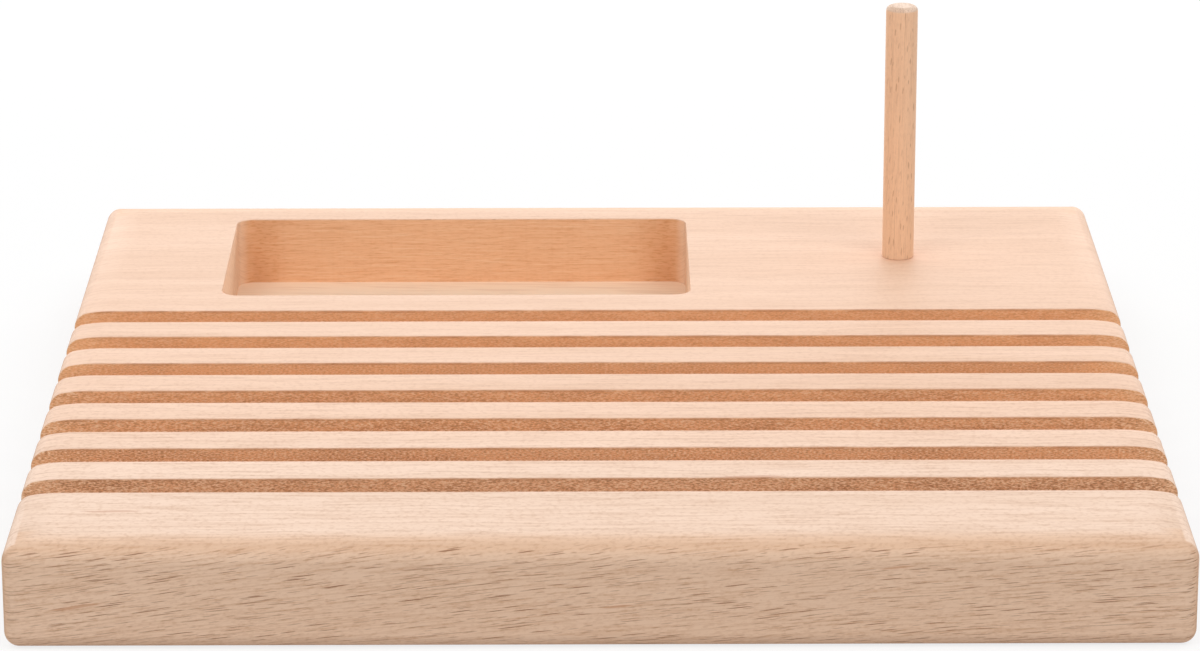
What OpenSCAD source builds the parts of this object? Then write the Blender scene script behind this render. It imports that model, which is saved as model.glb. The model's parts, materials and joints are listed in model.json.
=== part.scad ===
// Ruler and spool holder: a solid beech block with parallel slots that hold rulers on edge,
// a routed tray for small tools, and a plain beech dowel that carries a spool of thread.
//
// Frame: the origin is the centre of the block's underside. +X runs to the right along the
// slots, +Y runs from the front to the back, and +Z points up. All sizes are in millimetres.

/* [Block] */
// Thickness of the block
block_t = 18; // [15:0.5:30]
// Radius of the rounding along the upright and the lower edges
edge_r = 2.5; // [1:0.25:6]
// Radius of the rounding along the top edges
rim_r = 3; // [1:0.25:5]
// Radius of the shallow crown that leads from the flat top into that rounding
crown_r = 27.5; // [10:0.5:40]
// Angle that the crown has tilted by where the rounding takes over
crown_angle = 10; // [4:1:14]

/* [Ruler slots] */
// Number of slots
slot_n = 7; // [2:1:10]
// Width of each slot
slot_w = 6.6; // [4.5:0.1:9]
// Depth of each slot below the top of the block
slot_depth = 10; // [6:0.5:13]
// Distance from the middle of one slot to the middle of the next
slot_pitch = 15.5; // [12:0.5:24]
// Land between the front of the block and the nearest slot
front_land = 25.8; // [14:0.1:40]

/* [Tray] */
// Length of the tray, along the slots
tray_w = 87.8; // [50:0.1:140]
// Width of the tray, from front to back
tray_d = 49.6; // [24:0.1:80]
// Depth of the tray's floor below the top of the block
tray_depth = 12.9; // [6:0.1:13.5]
// Radius that the cutter leaves in the tray's upright corners
tray_corner_r = 3.25; // [1.5:0.25:8]
// Land between the last slot and the tray
tray_front_land = 9.6; // [4:0.1:20]
// Land between the tray and the back of the block
tray_back_land = 11.4; // [8:0.1:30]
// Land between the left side of the block and the tray
tray_left_land = 26.6; // [8:0.1:50]

/* [Spool pin] */
// Diameter of the pin above the block
pin_d = 6; // [4:0.5:10]
// Height of the pin above the block
pin_h = 49.4; // [30:0.1:80]
// Radius of the rounding around the pin's top
pin_end_r = 1; // [0.4:0.1:1.9]
// Length of the pin's tenon, which sits in the block
pin_seat = 12; // [8:0.5:13]
// Distance from the tray to the pin's axis
pin_tray_gap = 40.2; // [12:0.1:60]
// Distance from the pin's axis to the right side of the block
pin_side_gap = 39.4; // [14:0.1:60]
// Distance from the pin's axis to the back of the block
pin_back_gap = 36.8; // [14:0.1:60]

/* [Fits] */
// Width of the shoulder that the pin stands on, around its tenon
shoulder_w = 0.5; // [0.3:0.1:1]
// Radial clearance between the tenon and its bore
bore_clearance = 0.05; // [0.01:0.01:0.05]
// Gap left under the tenon's end
seat_gap = 0.5; // [0.2:0.1:1]
// Chamfer that leads the tenon into its bore
tenon_lead = 0.6; // [0.2:0.1:1.2]

/* [Hidden] */
$fn = 96;

// Distance by which a cutter runs past the face that it leaves, or one shape into the next
run_out = 2;

// Overall plan size, summed from the lands and the features that the block holds
slot_run = (slot_n - 1) * slot_pitch + slot_w;
block_w = tray_left_land + tray_w + pin_tray_gap + pin_side_gap;
block_d = front_land + slot_run + tray_front_land + tray_d + tray_back_land;

// Width of the crown, distance from the flat top to the outer faces, and depth of the rounding's centre
crown_run = crown_r * sin(crown_angle);
rim_reach = rim_r + (crown_r - rim_r) * sin(crown_angle);
rim_drop = crown_r - (crown_r - rim_r) * cos(crown_angle);

// Places of the features, measured from the middle of the block
first_slot_y = -block_d / 2 + front_land + slot_w / 2;
tray_x = -block_w / 2 + tray_left_land + tray_w / 2;
tray_y = block_d / 2 - tray_back_land - tray_d / 2;
pin_x = block_w / 2 - pin_side_gap;
pin_y = block_d / 2 - pin_back_gap;

// Radii of the pin's two diameters and of the bore
pin_r = pin_d / 2;
tenon_r = pin_r - shoulder_w;
bore_r = tenon_r + bore_clearance;

// Rectangle with four equal round corners, centred on the origin
module rounded_rectangle(w, d, r) {
    square([w - 2 * r, d], center = true);
    square([w, d - 2 * r], center = true);
    for (side = [-1, 1], end = [-1, 1])
        translate([side * (w / 2 - r), end * (d / 2 - r)])
            circle(r);
}

// Right-hand end of an upright section: the crown, the rounding that it runs into and the lower corner
module section_end(w) {
    intersection() {
        translate([w / 2 - rim_reach, block_t - crown_r])
            circle(crown_r);
        translate([w / 2 - rim_reach, edge_r])
            square([crown_run, block_t - edge_r]);
    }
    translate([w / 2 - rim_r, block_t - rim_drop])
        circle(rim_r);
    translate([w / 2 - edge_r, edge_r])
        circle(edge_r);
}

// Upright section of the block, standing on its underside
module upright_section(w) {
    translate([-w / 2 + rim_reach, 0])
        square([w - 2 * rim_reach, block_t]);
    translate([-w / 2 + edge_r, 0])
        square([w - 2 * edge_r, block_t - rim_drop]);
    translate([-w / 2, edge_r])
        square([w, block_t - edge_r - rim_drop]);
    section_end(w);
    mirror([1, 0])
        section_end(w);
}

// The block before anything is cut into it: what its plan and its two upright sections have in common
module blank() {
    intersection() {
        linear_extrude(block_t)
            rounded_rectangle(block_w, block_d, edge_r);
        rotate([90, 0, 0])
            linear_extrude(block_d + 2 * run_out, center = true)
                upright_section(block_w);
        rotate([90, 0, 90])
            linear_extrude(block_w + 2 * run_out, center = true)
                upright_section(block_d);
    }
}

// One slot, open at the top and at both sides of the block
module ruler_slot(y) {
    translate([-block_w / 2 - run_out, y - slot_w / 2, block_t - slot_depth])
        cube([block_w + 2 * run_out, slot_w, slot_depth + run_out]);
}

// The tray's pocket
module tray_pocket() {
    translate([tray_x, tray_y, block_t - tray_depth])
        linear_extrude(tray_depth + run_out)
            rounded_rectangle(tray_w, tray_d, tray_corner_r);
}

// The blind bore that takes the pin's tenon
module pin_bore() {
    bore_depth = pin_seat + seat_gap;
    translate([pin_x, pin_y, block_t - bore_depth])
        cylinder(h = bore_depth + run_out, r = bore_r);
}

module slotted_block() {
    color("burlywood")
        difference() {
            blank();
            for (i = [0 : slot_n - 1])
                ruler_slot(first_slot_y + i * slot_pitch);
            tray_pocket();
            pin_bore();
        }
}

// Half section of the pin above its shoulder, with a rounded top
module shank_section() {
    square([pin_r - pin_end_r, pin_h]);
    square([pin_r, pin_h - pin_end_r]);
    intersection() {
        translate([pin_r - pin_end_r, pin_h - pin_end_r])
            circle(pin_end_r);
        square([pin_r, pin_h]);
    }
}

// Half section of the tenon, which runs on up inside the shank
module tenon_section() {
    polygon([
        [0, run_out],
        [tenon_r, run_out],
        [tenon_r, tenon_lead - pin_seat],
        [tenon_r - tenon_lead, -pin_seat],
        [0, -pin_seat]
    ]);
}

// The pin, with its shoulder on the top of the block
module spool_pin() {
    color("tan")
        translate([pin_x, pin_y, block_t]) {
            rotate_extrude()
                shank_section();
            rotate_extrude()
                tenon_section();
        }
}

slotted_block();
spool_pin();
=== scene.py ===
# %% [markdown]
# # A ruler and spool holder in bare beech
#
# The holder is two pieces of wood: a block with seven sawn slots and a routed tray, and a thin dowel
# that stands in a bore. Its exact solids are already made, so the first step loads them as a fixed
# frame. Everything below is measured from that frame, in metres, and nothing in it is moved.

# %% Load the frame
import json
import math

import bmesh
import bpy
from mathutils import Color, Matrix, Vector


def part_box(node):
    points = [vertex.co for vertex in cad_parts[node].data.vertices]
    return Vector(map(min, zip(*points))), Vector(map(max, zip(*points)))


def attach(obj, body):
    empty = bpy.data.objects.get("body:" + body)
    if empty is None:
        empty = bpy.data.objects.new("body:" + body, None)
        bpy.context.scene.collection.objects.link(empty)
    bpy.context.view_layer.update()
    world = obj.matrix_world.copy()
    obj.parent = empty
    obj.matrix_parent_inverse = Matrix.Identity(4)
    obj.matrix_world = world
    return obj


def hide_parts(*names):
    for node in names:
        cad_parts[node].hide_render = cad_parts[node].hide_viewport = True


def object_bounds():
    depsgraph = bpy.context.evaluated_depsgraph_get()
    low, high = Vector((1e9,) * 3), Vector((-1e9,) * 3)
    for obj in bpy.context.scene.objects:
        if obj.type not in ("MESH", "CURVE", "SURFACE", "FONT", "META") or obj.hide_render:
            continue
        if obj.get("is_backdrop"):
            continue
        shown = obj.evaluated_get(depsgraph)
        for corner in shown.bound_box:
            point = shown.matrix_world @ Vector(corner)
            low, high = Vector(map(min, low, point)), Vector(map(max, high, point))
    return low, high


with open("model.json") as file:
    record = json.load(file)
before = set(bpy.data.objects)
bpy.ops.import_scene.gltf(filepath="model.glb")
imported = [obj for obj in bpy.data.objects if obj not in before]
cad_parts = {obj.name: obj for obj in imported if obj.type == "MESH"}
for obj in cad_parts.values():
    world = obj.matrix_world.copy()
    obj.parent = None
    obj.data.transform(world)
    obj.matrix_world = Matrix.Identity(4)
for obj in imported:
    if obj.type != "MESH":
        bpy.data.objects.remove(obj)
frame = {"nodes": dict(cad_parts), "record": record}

MM = 0.001
TINY = 0.01 * MM
X, Y, Z = range(3)


def in_mm(*lengths):
    """Lengths in millimetres, rounded for printing."""
    return [round(length / MM, 2) for length in lengths]


cad_low, cad_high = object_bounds()
print("frame box in mm", in_mm(*cad_low, *cad_high))

# %% [markdown]
# ## Sizes
#
# A good scene has no second set of sizes. The slots, the tray, the bore and the solids' own roundings
# are read back from the corners of the solids and from the record's list of mounts, so if the solids
# change, the pieces modelled here change with them.

# %% Block
def corners(node, wanted):
    """The corners of one solid that pass a test."""
    return [v.co for v in frame["nodes"][node].data.vertices if wanted(v.co)]


def reach(points, axis):
    """The lowest and highest place of some points along X, Y or Z."""
    places = [p[axis] for p in points]
    return min(places), max(places)


block_low, block_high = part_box("slotted_block")
top = block_high.z
top_face = corners("slotted_block", lambda p: p.z > top - TINY)
underside = corners("slotted_block", lambda p: p.z < block_low.z + TINY)
right_face = corners("slotted_block", lambda p: p.x > block_high.x - TINY)
edge_round = block_high.x - reach(underside, X)[1]
rim_reach = block_high.x - reach(top_face, X)[1]
rim_drop = top - reach(right_face, Z)[1]
print("block in mm", in_mm(*(block_high - block_low)))
print("edge rounding, reach and drop of the rim in mm", in_mm(edge_round, rim_reach, rim_drop))

# %% Slots
mounts = {mount["name"]: mount for mount in frame["record"]["mounts"]}
slot_places = [mount["pos_m"] for name, mount in mounts.items() if name.startswith("ruler_slot")]
slot_floor = slot_places[0][Z]
slot_pitch = slot_places[1][Y] - slot_places[0][Y]
first_slot = corners(
    "slotted_block",
    lambda p: abs(p.z - slot_floor) < TINY and abs(p.y - slot_places[0][Y]) < slot_pitch / 2,
)
slot_width = reach(first_slot, Y)[1] - reach(first_slot, Y)[0]
print("slot width, floor and pitch in mm", in_mm(slot_width, slot_floor, slot_pitch))

# %% Pin and bore
pin_low, pin_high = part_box("spool_pin")
pin_axis = Vector(mounts["spool_pin"]["pos_m"])
pin_dims = mounts["spool_pin"]["dims"]
pin_r = pin_dims["r_mm"] * MM
pin_round = pin_high.z - pin_axis.z - pin_dims["length_mm"] * MM / 2


def from_axis(point):
    """How far a point is from the pin's axis."""
    return (point - pin_axis).xy.length


tenon = corners("spool_pin", lambda p: p.z < top - pin_r)
tenon_r = max(from_axis(p) for p in tenon)
tenon_sides = [p for p in tenon if from_axis(p) > tenon_r - TINY]
tenon_lead = reach(tenon_sides, Z)[0] - pin_low.z
bore = corners("slotted_block", lambda p: from_axis(p) < pin_r and p.z < top - TINY)
bore_r = max(from_axis(p) for p in bore)
bore_floor = reach(bore, Z)[0]
print("pin, tenon and bore radius in mm", in_mm(pin_r, tenon_r, bore_r))
print("rounding of the pin and lead of its tenon in mm", in_mm(pin_round, tenon_lead))

# %% Tray
MARGIN = 2 * MM

tray_low, tray_high = (Vector(corner) for corner in frame["record"]["physics"]["openings"][-1]["box_m"])
tray_points = corners(
    "slotted_block",
    lambda p: block_low.z + edge_round < p.z < top - TINY
    and tray_low.x - MARGIN < p.x < tray_high.x + MARGIN
    and tray_low.y - MARGIN < p.y < tray_high.y + MARGIN,
)
tray_left, tray_right = reach(tray_points, X)
tray_front, tray_back = reach(tray_points, Y)
tray_floor = reach(tray_points, Z)[0]
right_wall = [p for p in tray_points if p.x > tray_right - TINY]
tray_corner = tray_back - reach(right_wall, Y)[1]
print("tray sides in mm", in_mm(tray_left, tray_right, tray_front, tray_back))
print("tray floor and corner in mm", in_mm(tray_floor, tray_corner))

# %% [markdown]
# ## Tools for modelling
#
# Operators act on whatever is selected. A few helpers keep that plain: they add a primitive at its size
# and place with nothing else selected, pick edges or faces in edit mode with a test on where they are
# or how they lie, round the edges that are picked, and cut one shape out of another.

# %% Helpers that add a primitive
def settle(name):
    """Names the primitive that was just added and puts its place and size into its mesh."""
    made = bpy.context.active_object
    made.name = name
    bpy.ops.object.transform_apply(location=True, rotation=True, scale=True)
    return made


def box_between(name, low, high):
    """A box from its lowest to its highest corner, alone in the selection."""
    bpy.ops.object.select_all(action="DESELECT")
    bpy.ops.mesh.primitive_cube_add(size=1, location=(Vector(low) + Vector(high)) / 2)
    bpy.context.active_object.dimensions = Vector(high) - Vector(low)
    return settle(name)


def drum(name, centre, radius, low, high, sides):
    """An upright cylinder between two heights, alone in the selection."""
    bpy.ops.object.select_all(action="DESELECT")
    bpy.ops.mesh.primitive_cylinder_add(
        vertices=sides, radius=radius, depth=high - low, location=(centre.x, centre.y, (low + high) / 2)
    )
    return settle(name)


print("primitives are ready")

# %% Helpers that shape a piece
CIRCULAR = 0.5
SHARP = math.radians(50)
STRAIGHT = 0.99


def pick(piece, kind, wanted):
    """Selects the edges or faces of a piece in edit mode that pass a test, and says how many."""
    bpy.context.tool_settings.mesh_select_mode = (False, kind == "edges", kind == "faces")
    bpy.ops.mesh.select_all(action="DESELECT")
    shape = bmesh.from_edit_mesh(piece.data)
    chosen = [part for part in getattr(shape, kind) if wanted(part)]
    for part in chosen:
        part.select_set(True)
    bmesh.update_edit_mesh(piece.data)
    return len(chosen)


def sticks_out(edge):
    """Whether an edge is an outward one that is still sharp."""
    return edge.calc_face_angle_signed(0) > SHARP


def round_off(width, steps):
    """Rounds the edges that are selected, over this width on either side of each."""
    bpy.ops.mesh.bevel(offset=width, segments=steps, profile=CIRCULAR, affect="EDGES")


def alone(piece):
    """Makes a piece the active one, with nothing else selected."""
    bpy.ops.object.select_all(action="DESELECT")
    bpy.context.view_layer.objects.active = piece
    piece.select_set(True)


def cut_away(piece, tool):
    """Takes the tool's path out of the piece, and then the tool itself away."""
    cut = piece.modifiers.new("cut", "BOOLEAN")
    cut.operation = "DIFFERENCE"
    cut.solver = "EXACT"
    cut.object = tool
    alone(piece)
    bpy.ops.object.modifier_apply(modifier=cut.name)
    bpy.data.objects.remove(tool)


print("modelling helpers are ready")

# %% [markdown]
# ## The block
#
# The real block is a planed board with rounded edges. Sanding has also let the top fall away a little
# before each edge: a shallow crown, under half a millimetre deep and nearly five wide, leads from the
# flat into the rounding. It shows best at the open ends of the slots. On the solid, crown and rounding
# are two arcs that touch where the top has tilted by ten degrees, so their radii follow from how far
# in and how far down the pair reaches.

# %% Rim of the block
CROWN_TILT = math.radians(10)

tilt_sin, tilt_cos = math.sin(CROWN_TILT), math.cos(CROWN_TILT)
spread = (1 - tilt_sin) * (1 - tilt_cos) - tilt_sin * tilt_cos
rim_r = (rim_reach * (1 - tilt_cos) - rim_drop * tilt_sin) / spread
crown_r = (rim_drop * (1 - tilt_sin) - rim_reach * tilt_cos) / spread
print("rounding and crown radius in mm", in_mm(rim_r, crown_r))

# %% [markdown]
# A box is the natural start, only as high as its sharp edges would stand. Its top is inset again and
# again, and each inset lifts it along the crown. One bevel then rounds every edge that is still sharp.
# The top edges turn through less than a right angle, so the same width gives them a larger radius.
# Where three edges meet, the bevel makes the ball that sanding leaves on a corner.

# %% Blank of the block
ROUND_STEPS = 10
CROWN_STEPS = 6

crown_start = rim_reach - crown_r * tilt_sin
sharp_top = top - crown_r * (1 - tilt_cos) - crown_start * math.tan(CROWN_TILT)
block = box_between("slotted_beech_block", block_low, (block_high.x, block_high.y, sharp_top))
bpy.ops.object.mode_set(mode="EDIT")
pick(block, "faces", lambda face: face.normal.z > STRAIGHT)
inward, upward = 0, sharp_top
for step in range(1, CROWN_STEPS + 1):
    tilt = CROWN_TILT * (1 - step / CROWN_STEPS)
    next_inward = rim_reach - crown_r * math.sin(tilt)
    next_upward = top - crown_r * (1 - math.cos(tilt))
    bpy.ops.mesh.inset(thickness=next_inward - inward, depth=next_upward - upward)
    inward, upward = next_inward, next_upward
sharp_edges = pick(block, "edges", sticks_out)
round_off(edge_round, ROUND_STEPS)
bpy.ops.object.mode_set(mode="OBJECT")
print("block blank:", len(block.data.polygons), "faces,", sharp_edges, "edges rounded")

# %% [markdown]
# The tray was routed with a thin straight cutter, the bore was drilled and the slots were sawn right
# across. Each of those tools leaves its own shape behind, so the honest way to make the hollows is
# to model the tool's path and take it out of the block. One saw path is modelled and copied along.

# %% Tray and bore
TRAY_CORNER_STEPS = 8
BORE_SIDES = 64
RUN_OUT = 4 * MM

router = box_between(
    "router_path", (tray_left, tray_front, tray_floor), (tray_right, tray_back, top + RUN_OUT)
)
bpy.ops.object.mode_set(mode="EDIT")
upright_edges = pick(router, "edges", lambda edge: abs(edge.verts[0].co.z - edge.verts[1].co.z) > RUN_OUT)
round_off(tray_corner, TRAY_CORNER_STEPS)
bpy.ops.object.mode_set(mode="OBJECT")
cut_away(block, router)
drill = drum("drill_path", pin_axis, bore_r, bore_floor, top + RUN_OUT, BORE_SIDES)
cut_away(block, drill)
print("tray and bore cut,", upright_edges, "tray corners rounded")

# %% Slots in the block
saw = box_between(
    "saw_path",
    (block_low.x - RUN_OUT, slot_places[0][Y] - slot_width / 2, slot_floor),
    (block_high.x + RUN_OUT, slot_places[0][Y] + slot_width / 2, top + RUN_OUT),
)
bpy.ops.object.mode_set(mode="EDIT")
bpy.ops.mesh.select_all(action="SELECT")
for before, after in zip(slot_places, slot_places[1:]):
    step = (0, after[Y] - before[Y], 0)
    bpy.ops.mesh.duplicate_move(TRANSFORM_OT_translate={"value": step})
bpy.ops.object.mode_set(mode="OBJECT")
cut_away(block, saw)
print("slots sawn:", len(slot_places), "and now", len(block.data.polygons), "faces")

# %% [markdown]
# No hand-sanded edge is a knife edge. Every outward edge that the tools left gets a rounding of a
# quarter of a millimetre, which catches a thin line of light along the slots. Inward edges stay sharp,
# because sandpaper never reaches them. Weighted normals then keep the flats flat beside the roundings.

# %% Sanded edges
ARRIS = 0.25 * MM
ARRIS_STEPS = 2
SMOOTH = math.radians(40)

bpy.ops.object.mode_set(mode="EDIT")
arrises = pick(block, "edges", sticks_out)
round_off(ARRIS, ARRIS_STEPS)
bpy.ops.object.mode_set(mode="OBJECT")


def smooth(piece):
    """Smooth shading that keeps flats flat."""
    alone(piece)
    bpy.ops.object.shade_smooth_by_angle(angle=SMOOTH)
    weighted = piece.modifiers.new("weighted", "WEIGHTED_NORMAL")
    weighted.keep_sharp = True
    bpy.ops.object.modifier_apply(modifier=weighted.name)


def loose_edges(piece):
    """How many edges of a piece don't have exactly two faces, which is none on a closed solid."""
    shape = bmesh.new()
    shape.from_mesh(piece.data)
    count = sum(not edge.is_manifold for edge in shape.edges)
    shape.free()
    return count


smooth(block)
print("edges sanded:", arrises, "open edges:", loose_edges(block), "faces:", len(block.data.polygons))

# %% [markdown]
# ## The spool pin
#
# The pin is a length of dowel. Its top is rounded by sanding, and inside the block it steps down to a
# tenon. It starts as a cylinder: the top rim is bevelled, the lower rim is eased, and the underside is
# inset to make the shoulder and extruded down for the tenon and its lead-in.

# %% Pin
PIN_SIDES = 96
PIN_ROUND_STEPS = 8
SHOULDER_EASE = 0.2 * MM

pin = drum("beech_spool_pin", pin_axis, pin_r, top, pin_high.z, PIN_SIDES)
bpy.ops.object.mode_set(mode="EDIT")
pick(pin, "edges", lambda edge: min(v.co.z for v in edge.verts) > pin_high.z - TINY)
round_off(pin_round, PIN_ROUND_STEPS)
pick(pin, "edges", lambda edge: max(v.co.z for v in edge.verts) < top + TINY)
round_off(SHOULDER_EASE, ARRIS_STEPS)
pick(pin, "faces", lambda face: face.normal.z < -STRAIGHT)
bpy.ops.mesh.inset(thickness=pin_r - SHOULDER_EASE - tenon_r)
for drop in (pin_low.z + tenon_lead - top, -tenon_lead):
    bpy.ops.mesh.extrude_region_move(TRANSFORM_OT_translate={"value": (0, 0, drop)})
lead_share = (tenon_r - tenon_lead) / tenon_r
pin_foot = (pin_axis.x, pin_axis.y, pin_low.z)
bpy.ops.transform.resize(value=(lead_share, lead_share, 1), center_override=pin_foot)
bpy.ops.object.mode_set(mode="OBJECT")
smooth(pin)
print("pin:", len(pin.data.polygons), "faces, open edges:", loose_edges(pin))

# %% [markdown]
# ## Shader arithmetic
#
# Wood is a solid pattern: the same fibres run through the block and show differently on each face. So
# its colour is worked out from a point's place in the block, and not painted on. Written as nodes
# that is a long chain of sums, so a small class lets the sums be written as sums.

# %% A number in a material
class Amount:
    """A socket in a finish. Arithmetic on it adds Math nodes."""

    def __init__(self, finish, socket):
        self.finish = finish
        self.socket = socket

    def math(self, operation, *terms):
        """A Math node on some terms, in their order."""
        return self.finish.node("Math", {"operation": operation}, dict(enumerate(terms)))

    def __add__(self, other):
        return self.math("ADD", self, other)

    def __radd__(self, other):
        return self.math("ADD", other, self)

    def __sub__(self, other):
        return self.math("SUBTRACT", self, other)

    def __rsub__(self, other):
        return self.math("SUBTRACT", other, self)

    def __mul__(self, other):
        return self.math("MULTIPLY", self, other)

    def __rmul__(self, other):
        return self.math("MULTIPLY", other, self)

    def __truediv__(self, other):
        return self.math("DIVIDE", self, other)

    def __gt__(self, other):
        return self.math("GREATER_THAN", self, other)

    def __abs__(self):
        return self.math("ABSOLUTE", self)

    def ramp(self, start, end, low=0, high=1):
        """A smooth step: low before start, high after end."""
        sockets = {"Value": self, "From Min": start, "From Max": end, "To Min": low, "To Max": high}
        return self.finish.node("MapRange", {"interpolation_type": "SMOOTHSTEP"}, sockets)


print("arithmetic is ready")

# %% A finish
SOFT, EVEN, FINE, FINEST = range(1, 5)        # levels of detail in a noise
FIRST_COLOUR, SECOND_COLOUR, MIXED_COLOUR = 6, 7, 2        # a Mix node's sockets for colours


class Finish:
    """The nodes of a material or a world, with one main shader."""

    def __init__(self, owner, shader="Principled BSDF"):
        owner.use_nodes = True
        self.owner = owner
        self.tree = owner.node_tree
        self.shader = self.tree.nodes[shader]

    def node(self, kind, settings, sockets, out=0):
        """Adds a node, sets it up, fills its sockets and gives back one of its outputs."""
        made = self.tree.nodes.new("ShaderNode" + kind)
        for name, value in settings.items():
            setattr(made, name, value)
        for socket, value in sockets.items():
            self.fill(made.inputs[socket], value)
        return Amount(self, made.outputs[out])

    def fill(self, socket, value):
        """Links a socket to an amount, or sets it to a plain number or colour."""
        if isinstance(value, Amount):
            self.tree.links.new(value.socket, socket)
        else:
            socket.default_value = value

    def surface(self, **sockets):
        """Fills the shader's own sockets, with words joined by _ for the socket's name."""
        for name, value in sockets.items():
            self.fill(self.shader.inputs[name.replace("_", " ")], value)

    def dress(self, piece):
        """Makes this the only material of a piece."""
        piece.data.materials.clear()
        piece.data.materials.append(self.owner)
        print(piece.name, "finish:", len(self.tree.nodes), "nodes")

    def place(self):
        """A point's X, Y and Z on the piece, in millimetres."""
        where = self.node("TexCoord", {}, {}, "Object")
        scaled = self.node("VectorMath", {"operation": "SCALE"}, {0: where, "Scale": 1 / MM})
        return self.split(scaled)

    def facing(self):
        """How far a surface faces along X, Y and Z, whichever way round."""
        return [abs(way) for way in self.split(self.node("TexCoord", {}, {}, "Normal"))]

    def split(self, vector):
        """The X, Y and Z of a vector."""
        parts = self.node("SeparateXYZ", {}, {0: vector}).socket.node
        return [Amount(self, part) for part in parts.outputs]

    def vector(self, x, y, z):
        """A vector from its X, Y and Z."""
        return self.node("CombineXYZ", {}, {0: x, 1: y, 2: z})

    def noise(self, place, size, detail=EVEN):
        """Soft noise between about 0.3 and 0.7, with cells of this size in mm."""
        cell = self.vector(*(along / length for along, length in zip(place, size)))
        return self.node("TexNoise", {}, {"Vector": cell, "Scale": 1, "Detail": detail})

    def blend(self, factor, first, second, mode="MIX"):
        """Mixes two colours."""
        settings = {"data_type": "RGBA", "blend_type": mode}
        sockets = {0: factor, FIRST_COLOUR: first, SECOND_COLOUR: second}
        return self.node("Mix", settings, sockets, MIXED_COLOUR)


def colour(red, green, blue):
    """A colour as a screen shows it, from 0 to 255, turned into light."""
    light = Color((red / 255, green / 255, blue / 255)).from_srgb_to_scene_linear()
    return (*light, 1)


print("finishes are ready")

# %% [markdown]
# ## Beech
#
# Beech is pale and even. What gives it away is its rays: thin sheets that run out from the heart of the
# tree. Cut across, on a face that looks towards the heart, they show as short dark dashes along
# the grain. Cut along, they nearly vanish. A flat cell pattern that is stretched along the grain gives
# one lens-shaped dash to a cell. Only a share of the cells is kept, their lengths differ, and each row
# of cells is shifted against the last, so that no columns show.

# %% Dashes
ROW_SHIFT = -0.37
LENS_POWER = 1.3
SCATTER = 0.9
SHORTEST, LONGEST = 0.65, 1.35
CORE = 0.7


def dashes(wood, along, across, size, keep, width):
    """Lens-shaped dashes along the grain, one to a cell of this size in mm, in a share of the cells."""
    length, height = size
    row = across / height
    cell = wood.vector(along / length + ROW_SHIFT * row, row, 0)
    settings = {"voronoi_dimensions": "2D", "distance": "MINKOWSKI"}
    sockets = {"Vector": cell, "Scale": 1, "Exponent": LENS_POWER, "Randomness": SCATTER}
    nearest = wood.node("TexVoronoi", settings, sockets, "Distance")
    chance = wood.node("SeparateColor", {}, {0: Amount(wood, nearest.socket.node.outputs["Color"])})
    kept, growth = (Amount(wood, chance.socket.node.outputs[name]) for name in ("Red", "Green"))
    reached = nearest / (SHORTEST + (LONGEST - SHORTEST) * growth)
    return reached.ramp(CORE * width, width, 1, 0) * (kept > 1 - keep)


print("dashes are ready")

# %% [markdown]
# The ground under the rays is fine and even: a slow change of tone from one year's ring to the next,
# and fibres along the grain. The fibres show as crisp thin lines where the face looks towards the heart,
# and as soft bands on the other faces. Each is a noise that is stretched along the grain. A place in the
# wood is given as how far it is along the grain, towards the heart and across. A size below is that of
# a noise's cells in these three directions, in mm, and a span is the start and end of a smooth step.

# %% Rings and fibres
PALE = colour(249, 218, 195)
WARM = colour(242, 209, 184)
DEEP = colour(214, 172, 140)
RING_SIZE, RING_SPAN = (150, 5, 30), (0.3, 0.7)
FIBRE_SIZE, BAND_SIZE, LINE_SPAN = (9, 6, 0.3), (13, 0.8, 4), (0.42, 0.72)
SPECK_SIZE, SPECK_SPAN = (0.9, 0.8, 0.3), (0.45, 0.7)
BAND_WANDER = 3
LINE_DEPTH = 0.5
SPECK_DEPTH = 0.35


def rings_and_fibres(wood, grain, wander, bent, on_heart, tones, figure):
    """The colour of the ground, and its fibres."""
    along, radial, across = grain
    ring = wood.noise(grain, RING_SIZE, FINE).ramp(*RING_SPAN)
    fibre = wood.noise((along, radial, bent), FIBRE_SIZE, FINE)
    band = wood.noise((along, radial + BAND_WANDER * wander, across), BAND_SIZE, FINEST)
    speck = wood.noise((along, radial, bent), SPECK_SIZE).ramp(*SPECK_SPAN)
    thin_lines = LINE_DEPTH * on_heart * fibre.ramp(*LINE_SPAN)
    soft_lines = LINE_DEPTH * (1 - on_heart) * band.ramp(*LINE_SPAN)
    shade = wood.blend(ring, *tones)
    shade = wood.blend(figure * (thin_lines + soft_lines + SPECK_DEPTH * speck), shade, DEEP)
    return shade, fibre


print("rings and fibres are ready")

# %% [markdown]
# Over the ground lie the rays, in three lengths, and a few longer reddish streaks. Every layer is the
# same pattern of dashes at its own size. A shift along the grain keeps one layer from falling on another.

# %% Rays and streaks
FLECK = colour(152, 104, 72)
RED_STREAK = colour(198, 138, 100)
SWEEP = 2.3
RAY = {"keep": 0.55, "width": 0.19}
SHORT_RAY = {"size": (5.5, 0.42), "keep": 0.5, "width": 0.2}
THREAD = {"size": (42, 0.6), "keep": 0.45, "width": 0.14}
HEART_STREAK = {"size": (33, 2.6), "keep": 0.12, "width": 0.13}
TOP_STREAK = {"size": (44, 7), "keep": 0.12, "width": 0.1}
SHORT_SHIFT, THREAD_SHIFT, STREAK_SHIFT = 31, 11, 57
DRIFT_SIZE, DRIFT_SPAN, DRIFT_LEAST = (28, 5, 1), (0.35, 0.6), 0.55
FAINT = 0.5
RED_DEPTH = 0.5


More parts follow.
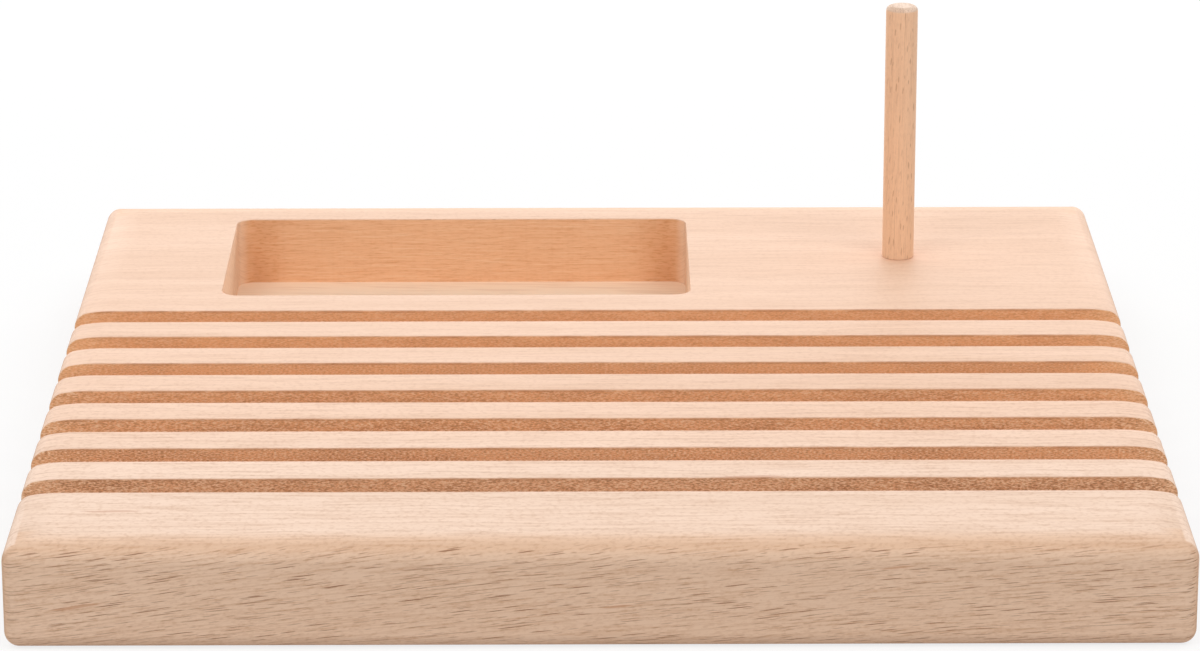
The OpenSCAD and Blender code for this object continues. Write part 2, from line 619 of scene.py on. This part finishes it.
def rays_and_streaks(wood, shade, grain, bent, on_heart, ray_size, ray_depth, figure):
    """The ground with rays and streaks laid over it, and the rays."""
    along, radial, across = grain
    swept = along + SWEEP * radial
    ray = dashes(wood, swept, bent, ray_size, **RAY) * on_heart
    short_ray = dashes(wood, swept + SHORT_SHIFT, bent, **SHORT_RAY) * on_heart
    thread = dashes(wood, swept + THREAD_SHIFT, bent, **THREAD) * on_heart
    drift = wood.noise((swept, bent, 0), DRIFT_SIZE, SOFT).ramp(*DRIFT_SPAN, DRIFT_LEAST, 1)
    shade = wood.blend(ray_depth * drift * ray, shade, FLECK)
    shade = wood.blend(FAINT * ray_depth * (short_ray + thread), shade, FLECK)
    heart_streak = dashes(wood, swept + STREAK_SHIFT, bent, **HEART_STREAK) * on_heart
    top_streak = dashes(wood, along + SWEEP * across, radial, **TOP_STREAK) * (1 - on_heart)
    redness = RED_DEPTH * (2 * figure - 1)
    return wood.blend(redness * (heart_streak + top_streak), shade, RED_STREAK), ray


print("rays and streaks are ready")

# %% [markdown]
# On the ends of the board the fibres are seen end on, as pores, the rays as thin sheets and the year
# rings as arcs, and the wood looks darker. All three follow from the same place in the wood. The last
# function joins the ground, the rays and the ends, and gives a height from which a fine relief is made.

# %% End grain
PORE_SIZE, PORE_SPAN, PORE_DEPTH = (6, 0.22, 0.22), (0.5, 0.62), 0.22
SHEET_SIZE, SHEET_SPAN, SHEET_DEPTH = (8, 9, 0.3), (0.45, 0.65), 0.18
YEAR_SIZE, YEAR_SPAN, YEAR_DEPTH = (200, 1.7, 30), (0.42, 0.62), 0.4
YEAR_ARC = 80


def end_grain(wood, grain, end_tone):
    """The colour of the wood's ends, and their pores."""
    along, radial, across = grain
    pore = wood.noise(grain, PORE_SIZE).ramp(*PORE_SPAN)
    sheet = wood.noise(grain, SHEET_SIZE).ramp(*SHEET_SPAN)
    arc = radial + across * across / YEAR_ARC
    year = wood.noise((along, arc, across), YEAR_SIZE).ramp(*YEAR_SPAN)
    ends = wood.blend(YEAR_DEPTH * year, end_tone, DEEP)
    return wood.blend(PORE_DEPTH * pore + SHEET_DEPTH * sheet, ends, FLECK), pore


print("end grain is ready")

# %% Bare beech
HEART_SPAN = (0.25, 0.8)
WANDER_SIZE, WANDER_DEPTH = (40, 25, 8), 1.6
RAY_SINK = 0.8
PORE_SINK = 0.25


def beech(wood, grain, to_heart, on_end, tones, ray_size, ray_depth, figure):
    """The colour and the height of bare beech, from a point's place in the wood."""
    *ground, end_tone = tones
    *_, across = grain
    on_heart = to_heart.ramp(*HEART_SPAN)
    wander = wood.noise(grain, WANDER_SIZE)
    bent = across + WANDER_DEPTH * wander
    shade, fibre = rings_and_fibres(wood, grain, wander, bent, on_heart, ground, figure)
    shade, ray = rays_and_streaks(wood, shade, grain, bent, on_heart, ray_size, ray_depth, figure)
    ends, pore = end_grain(wood, grain, end_tone)
    height = fibre - RAY_SINK * ray - PORE_SINK * pore * on_end
    return wood.blend(on_end, shade, ends), height


print("beech is ready")

# %% [markdown]
# ## Finish of the block
#
# The board's fibres run along the slots, and its front faces the heart of the tree. The grain climbs a
# little to the right, more at the left end than at the right. Towards the back the figure gets fainter.

# %% Figure of the block
CLIMB = 0.09
CLIMB_FADE = 0.0002
RAY_SIZE = (11, 0.46)
RAY_DEPTH = 0.85
END_GRAIN = colour(222, 185, 155)
END_SPAN = (0.75, 0.98)
FAINT_SPAN, FAINT_FIGURE = (-60, 40), 0.5

block_wood = Finish(bpy.data.materials.new("bare_beech_block"))
place = block_wood.place()
x, y, z = place
face_x, face_y, face_z = block_wood.facing()
grain = (x, y, z - CLIMB * x + CLIMB_FADE * x * x)
figure = y.ramp(*FAINT_SPAN, 1, FAINT_FIGURE)
tones = (PALE, WARM, END_GRAIN)
on_end = face_x.ramp(*END_SPAN)
shade, height = beech(block_wood, grain, face_y, on_end, tones, RAY_SIZE, RAY_DEPTH, figure)
print("figure of the block is ready")

# %% [markdown]
# The sanded faces and the cut ones look different, so the finish has to know where it is. Masks made
# from the place and the way a surface faces find the walls, beds and upper edges of the slots, and the
# walls, ends and bed of the tray. They need no unwrapping and follow the sizes of the solids.

# %% Places in the slots
BLUR = 1
SUNK_DEPTH = (0.03, 0.3)
BEFORE_TRAY = 5
WALL_SPAN, BED_SPAN, LIP_SPAN = (0.4, 0.7), (0.5, 0.8), (0.2, 0.4)
BED_HEIGHT = (0.2, 0.4)
LIP_END = (0.4, 0.55)

flat_end = (block_high.y - rim_reach) / MM
inside = abs(y).ramp(flat_end - BLUR, flat_end, 1, 0)
below_top = top / MM - z
sunk = below_top.ramp(*SUNK_DEPTH)
slots_end = tray_front / MM - BEFORE_TRAY
in_slots = inside * y.ramp(slots_end, slots_end + BLUR, 1, 0)
slot_wall = in_slots * sunk * face_y.ramp(*WALL_SPAN)
slot_bed = in_slots * abs(z - slot_floor / MM).ramp(*BED_HEIGHT, 1, 0) * face_z.ramp(*BED_SPAN)
slot_lip = in_slots * face_y.ramp(*LIP_SPAN) * below_top.ramp(*LIP_END, 1, 0)
sawn = slot_wall + slot_bed
print("places in the slots are ready")

# %% Places in the tray
BESIDE = (0.5, 1)
ROUTED_SPAN = (0.2, 0.6)
TRAY_END_SPAN = (0.35, 0.9)

tray_half = (tray_right - tray_left) / 2 / MM
from_middle = abs(x - (tray_left + tray_right) / 2 / MM)
beside_tray = (from_middle - tray_half).ramp(*BESIDE, 1, 0)
in_tray = inside * sunk * y.ramp(slots_end, slots_end + BLUR) * beside_tray
routed = in_tray * face_y.ramp(*ROUTED_SPAN)
tray_end = in_tray * face_x.ramp(*TRAY_END_SPAN)
tray_bed = in_tray * face_z.ramp(*BED_SPAN)
print("places in the tray are ready")

# %% [markdown]
# The front is painted a little browner than the top and the rounding above it warmer still, both as
# painted shade, and the top grows warmer towards the back. Three thin tints do that, each multiplied
# over the figure so that the grain shows through.

# %% Tints of the block
# The first two tints are painted shade on the front and on the rounding above it.
FRONT_SHADE = colour(253, 250, 245)
RIM_SHADE = colour(255, 250, 245)
BACK_TINT = colour(255, 246, 239)
TILT_SPAN = (0, 0.16)
RIM_SPAN = (0.6, 0.95)
BACK_SPAN = (-80, -20)

tilted = (1 - inside) * face_y.ramp(*TILT_SPAN)
on_rim = tilted * face_y.ramp(*RIM_SPAN, 1, 0)
towards_back = y.ramp(*BACK_SPAN) * (1 - sawn - in_tray)
for share, tint in ((tilted, FRONT_SHADE), (on_rim, RIM_SHADE), (towards_back, BACK_TINT)):
    shade = block_wood.blend(share, shade, tint, "MULTIPLY")
print("block tinted")

# %% [markdown]
# The saw leaves the slot walls furry, coarser at the front, with torn pale fibres. Their brown tone is
# partly the sawn wood's own and partly painted shade of the deep slots, and the dark upper edge is
# painted
# shade. A fine noise stands for the fur: its high spots darken, its low spots show torn fibres, and the
# same noise roughens the surface. The first slot is painted greyer as shade, and the back slots lighter
# as painted light.

# %% Sawn slots
# The three saw tones are partly painted shade of the deep slots; first greyer as shade, back lighter as
# painted light.
SAWN_SHADE_FIRST = colour(240, 187, 140)
SAWN_SHADE_MIDDLE = colour(246, 187, 134)
SAWN_SHADE_BACK = colour(250, 192, 136)
TORN = colour(255, 222, 188)
# The dark line along the slots' upper edges is painted shade, laid on in patches.
LIP_SHADE = colour(190, 134, 96)
GRIT_SIZE, DARK_GRIT, PALE_GRIT = (0.55, 0.3, 0.16), (0.5, 0.66), (0.36, 0.48)
CLOUD_SIZE, CLOUD_SPAN = (14, 9, 3), (0.4, 0.62)
LIP_SHADE_SIZE, LIP_SHADE_SPAN = (7, 5, 2), (0.35, 0.6)
COARSE_FRONT, COARSE_FALL = 1.4, 0.8
SAWN_SHARE, CLOUD_DEPTH, GRIT_DEPTH, TORN_DEPTH, LIP_SHADE_DEPTH = 0.85, 0.14, 0.38, 0.8, 0.45
SAW_RELIEF = 1.5

first_y, second_y, last_y = (slot_places[i][Y] / MM for i in (0, 1, -1))
back_share = y.ramp(first_y, last_y)
saw_tone_and_shade = block_wood.blend(back_share, SAWN_SHADE_MIDDLE, SAWN_SHADE_BACK)
saw_tone_and_shade = block_wood.blend(y.ramp(first_y, second_y, 1, 0), saw_tone_and_shade, SAWN_SHADE_FIRST)
grit = block_wood.noise(place, GRIT_SIZE)
cloud = block_wood.noise(place, CLOUD_SIZE).ramp(*CLOUD_SPAN)
lip_shade_patches = block_wood.noise(place, LIP_SHADE_SIZE, FINE).ramp(*LIP_SHADE_SPAN)
coarse = sawn * (COARSE_FRONT - COARSE_FALL * back_share)
dark = CLOUD_DEPTH * cloud + GRIT_DEPTH * grit.ramp(*DARK_GRIT)
shade = block_wood.blend(SAWN_SHARE * sawn, shade, saw_tone_and_shade)
shade = block_wood.blend(coarse * dark, shade, FLECK)
shade = block_wood.blend(TORN_DEPTH * coarse * grit.ramp(*PALE_GRIT, 1, 0), shade, TORN)
shade = block_wood.blend(LIP_SHADE_DEPTH * slot_lip * lip_shade_patches, shade, LIP_SHADE)
height = height + SAW_RELIEF * sawn * grit
print("slots are brown and furry")

# %% [markdown]
# The router leaves the tray's long walls an even brown with fine streaks along the grain, and it
# dwells near the corners, which scorches them. The even brown is partly the routed wood's own tone and
# partly painted shade of the deep walls. The streaks, a mottle and faint chatter lines are three
# noises of different stretch. The scorch grows towards the ends and fades again in the corners.

# %% Long walls of the tray
# The walls' even brown is partly painted shade of the deep tray.
ROUTED_AND_SHADE = colour(241, 190, 146)
SCORCHED = colour(214, 154, 106)
STREAK_SIZE, DARK_STREAK, PALE_STREAK = (6, 6, 0.22), (0.5, 0.72), (0.3, 0.46)
MOTTLE_SIZE, MOTTLE_SPAN = (1.6, 1.6, 0.3), (0.5, 0.68)
CHATTER_SIZE, CHATTER_SPAN = (0.6, 0.6, 40), (0.5, 0.7)
SCORCH_SPAN, CORNER_SPAN, CORNER_SCORCH = (0.74, 0.9), (0.91, 0.99), 0.35
ROUTED_SHARE, STREAK_DEPTH, MOTTLE_DEPTH, CHATTER_DEPTH, PALE_DEPTH = 0.85, 0.4, 0.25, 0.05, 0.3
SCORCH_DEPTH, SCORCH_MOTTLE = 0.4, 0.5

streaks = block_wood.noise(place, STREAK_SIZE, FINE)
mottle = block_wood.noise(place, MOTTLE_SIZE).ramp(*MOTTLE_SPAN)
chatter = block_wood.noise(place, CHATTER_SIZE, SOFT).ramp(*CHATTER_SPAN)
marks = STREAK_DEPTH * streaks.ramp(*DARK_STREAK) + MOTTLE_DEPTH * mottle + CHATTER_DEPTH * chatter
end_share = from_middle / tray_half
scorch = routed * end_share.ramp(*SCORCH_SPAN) * end_share.ramp(*CORNER_SPAN, 1, CORNER_SCORCH)
shade = block_wood.blend(ROUTED_SHARE * routed, shade, ROUTED_AND_SHADE)
shade = block_wood.blend(routed * marks, shade, SCORCHED)
shade = block_wood.blend(PALE_DEPTH * routed * streaks.ramp(*PALE_STREAK, 1, 0), shade, TORN)
shade = block_wood.blend(scorch * (SCORCH_DEPTH + SCORCH_MOTTLE * mottle), shade, SCORCHED)
print("long walls of the tray are streaked")

# %% [markdown]
# At the tray's short ends the cutter meets the fibres end on and leaves a fine slanting hatch. The bed is
# painted pale, which is painted light where the back wall shades it, with faint lines along the grain.
# Both are stretched noises over a plain tone.

# %% Ends and bed of the tray
TRAY_END = colour(248, 216, 188)
# The bed's pale tone is painted light, lifting it where the back wall shades it.
LIT_TRAY_BED = colour(255, 229, 202)
HATCH_LEAN, HATCH_SIZE, HATCH_SPAN = 1.5, (0.6, 7, 1), (0.45, 0.65)
BED_LEAN, BED_LINE_SIZE, BED_LINE_SPAN = 0.08, (14, 1.3, 1), (0.48, 0.66)
HATCH_DEPTH, END_SHARE, BED_DEPTH = 0.35, 0.8, 0.25

hatch = block_wood.noise((y + HATCH_LEAN * z, y - z, 0), HATCH_SIZE).ramp(*HATCH_SPAN)
end_tone = block_wood.blend(HATCH_DEPTH * hatch, TRAY_END, DEEP)
bed_lines = block_wood.noise((x, y + BED_LEAN * x, z), BED_LINE_SIZE).ramp(*BED_LINE_SPAN)
shade = block_wood.blend(END_SHARE * tray_end, shade, end_tone)
shade = block_wood.blend(tray_bed, shade, LIT_TRAY_BED)
shade = block_wood.blend(BED_DEPTH * tray_bed * bed_lines, shade, DEEP)
print("ends and bed of the tray are ready")

# %% Block material
RELIEF = 0.08 * MM
BLOCK_BUMP = 0.35
BLOCK_ROUGHNESS, SAWN_ROUGHNESS = 0.62, 0.15
SHEEN = 0.3

bump = block_wood.node("Bump", {}, {"Strength": BLOCK_BUMP, "Distance": RELIEF, "Height": height})
roughness = BLOCK_ROUGHNESS + SAWN_ROUGHNESS * sawn
block_wood.surface(Base_Color=shade, Roughness=roughness, Specular_IOR_Level=SHEEN, Normal=bump)
block_wood.dress(block)

# %% [markdown]
# ## Finish of the pin
#
# The dowel is turned from another piece of beech, a little browner, with its fibres upright. Its rays
# are shorter because the wood is finer, and its sanded top shows pale end grain. The same beech does for
# it, with the grain turned upright and other tones.

# %% Pin material
PIN_PALE = colour(255, 214, 178)
PIN_WARM = colour(251, 207, 170)
PIN_END = colour(255, 226, 203)
PIN_END_SPAN = (0.1, 0.4)
PIN_RAY_SIZE = (3.8, 0.7)
PIN_RAY_DEPTH = 0.38
PIN_FIGURE = 0.5
PIN_BUMP = 0.3
PIN_ROUGHNESS = 0.6

pin_wood = Finish(bpy.data.materials.new("bare_beech_dowel"))
x, y, z = pin_wood.place()
_, face_y, face_z = pin_wood.facing()
tones = (PIN_PALE, PIN_WARM, PIN_END)
on_end = face_z.ramp(*PIN_END_SPAN)
shade, height = beech(pin_wood, (z, y, x), face_y, on_end, tones, PIN_RAY_SIZE, PIN_RAY_DEPTH, PIN_FIGURE)
bump = pin_wood.node("Bump", {}, {"Strength": PIN_BUMP, "Distance": RELIEF, "Height": height})
pin_wood.surface(Base_Color=shade, Roughness=PIN_ROUGHNESS, Specular_IOR_Level=SHEEN, Normal=bump)
pin_wood.dress(pin)

# %% [markdown]
# ## Tying the pieces to the frame
#
# Each piece stands for its solid, which is hidden, and moves with its body, so the pin can lift out of
# the block.

# %% Ride and replace
for piece, node, body, slot in (
    (block, "slotted_block", "block", "beech_block"),
    (pin, "spool_pin", "pin", "beech_dowel"),
):
    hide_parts(node)
    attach(piece, body)
    print(piece.name, "rides on", body)

# %% [markdown]
# ## Studio
#
# The holder stands on a plain pale floor in even light. A broad low lamp behind it skims over the top,
# so the top dims as soon as it begins to fall away towards the camera, and that is what makes the crown
# along the front readable. Two softer lamps stand in front at the left and right. The background is
# white to the camera alone, so that it doesn't flood the wood with light, and the floor still shows a
# soft shadow.

# %% Floor
FLOOR_SIZE = 8
FLOOR_DROP = 0.1 * MM
FLOOR_TONE = (0.68, 0.68, 0.68, 1)
FLOOR_ROUGHNESS = 0.9
WHITE = (1, 1, 1, 1)
SHADOW_SHARE = 0.22

bpy.ops.object.select_all(action="DESELECT")
bpy.ops.mesh.primitive_plane_add(size=FLOOR_SIZE, location=(0, 0, block_low.z - FLOOR_DROP))
floor = bpy.context.active_object
floor.name = "studio_floor"
paper = Finish(bpy.data.materials.new("pale_floor"))
paper.surface(Base_Color=FLOOR_TONE, Roughness=FLOOR_ROUGHNESS, Specular_IOR_Level=0)
rays_of = paper.node("LightPath", {}, {}).socket.node.outputs
to_camera, to_gloss, to_glass = (
    Amount(paper, rays_of[name]) for name in ("Is Camera Ray", "Is Glossy Ray", "Is Transmission Ray")
)
plain = Amount(paper, paper.shader.outputs[0])
glow = paper.node("Emission", {}, {"Color": WHITE, "Strength": 1})
sheet = paper.node("BsdfDiffuse", {}, {"Color": WHITE})
seen = paper.node("MixShader", {}, {0: SHADOW_SHARE, 1: glow, 2: sheet})
both = paper.node("MixShader", {}, {0: to_camera + to_gloss + to_glass, 1: plain, 2: seen})
output = next(node for node in paper.tree.nodes if node.type == "OUTPUT_MATERIAL")
paper.fill(output.inputs["Surface"], both)
paper.dress(floor)
floor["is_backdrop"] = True

# %% World and lamps
WORLD_STRENGTH = 0.52
BEHIND_PLACE, BEHIND_SIZE, BEHIND_WATTS = (0, 1.2, 0.34), (2.6, 0.5), 16.5
FRONT_X, FRONT_Y, FRONT_Z = 0.5, -0.6, 1.0
FRONT_SIZE, FRONT_WATTS = (0.6, 0.6), 3.1

air = Finish(bpy.data.worlds.new("studio_air"), "Background")
bpy.context.scene.world = air.owner
to_camera = air.node("LightPath", {}, {}, "Is Camera Ray")
air.surface(Color=WHITE, Strength=WORLD_STRENGTH + (1 - WORLD_STRENGTH) * to_camera)


def softbox(name, place, size, power):
    """A flat lamp at a place, turned towards the middle of the block's top."""
    bpy.ops.object.light_add(type="AREA", location=place)
    lamp = bpy.context.active_object
    lamp.name = name
    lamp.data.shape = "RECTANGLE"
    lamp.data.size, lamp.data.size_y = size
    lamp.data.energy = power
    lamp.rotation_euler = (Vector((0, 0, top)) - Vector(place)).to_track_quat("-Z", "Y").to_euler()
    print(name, "set at", place)


softbox("behind_softbox", BEHIND_PLACE, BEHIND_SIZE, BEHIND_WATTS)
for across in (-FRONT_X, FRONT_X):
    softbox("front_softbox", (across, FRONT_Y, FRONT_Z), FRONT_SIZE, FRONT_WATTS)

# %% [markdown]
# ## Camera
#
# The camera stands almost straight in front, low, with a long lens. Its place was worked out from the
# slots' edges, the block's outline and the lean of the pin, with the picture taken as 1200 by 651.

# %% Camera
PICTURE_WIDTH = 1200
FOCAL_PIXELS = 4994.76
SENSOR_MM = 36
AIM = Vector((0.456, 43.422, 9.8167)) * MM
DISTANCE = 942.79 * MM
ELEVATION = math.radians(17.7723)
YAW = math.radians(-0.2045)
ROLL = math.radians(-0.0743)

bpy.ops.object.camera_add()
camera = bpy.context.active_object
camera.name = "front_camera"
camera.data.sensor_fit = "HORIZONTAL"
camera.data.sensor_width = SENSOR_MM
camera.data.lens = SENSOR_MM * FOCAL_PIXELS / PICTURE_WIDTH
turn = (
    Matrix.Rotation(YAW, 4, "Z")
    @ Matrix.Rotation(math.pi / 2 - ELEVATION, 4, "X")
    @ Matrix.Rotation(ROLL, 4, "Z")
)
camera.matrix_world = Matrix.Translation(AIM) @ turn @ Matrix.Translation((0, 0, DISTANCE))
bpy.context.scene.camera = camera
bpy.context.scene.view_settings.view_transform = "Standard"
print("camera lens in mm", round(camera.data.lens, 1))

# %% [markdown]
# ## Last measure
#
# The dressed holder's box is printed here, as the solids' box was at the start.

# %% Sizes and finish
look_low, look_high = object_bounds()
print("dressed box in mm", in_mm(*look_low, *look_high))
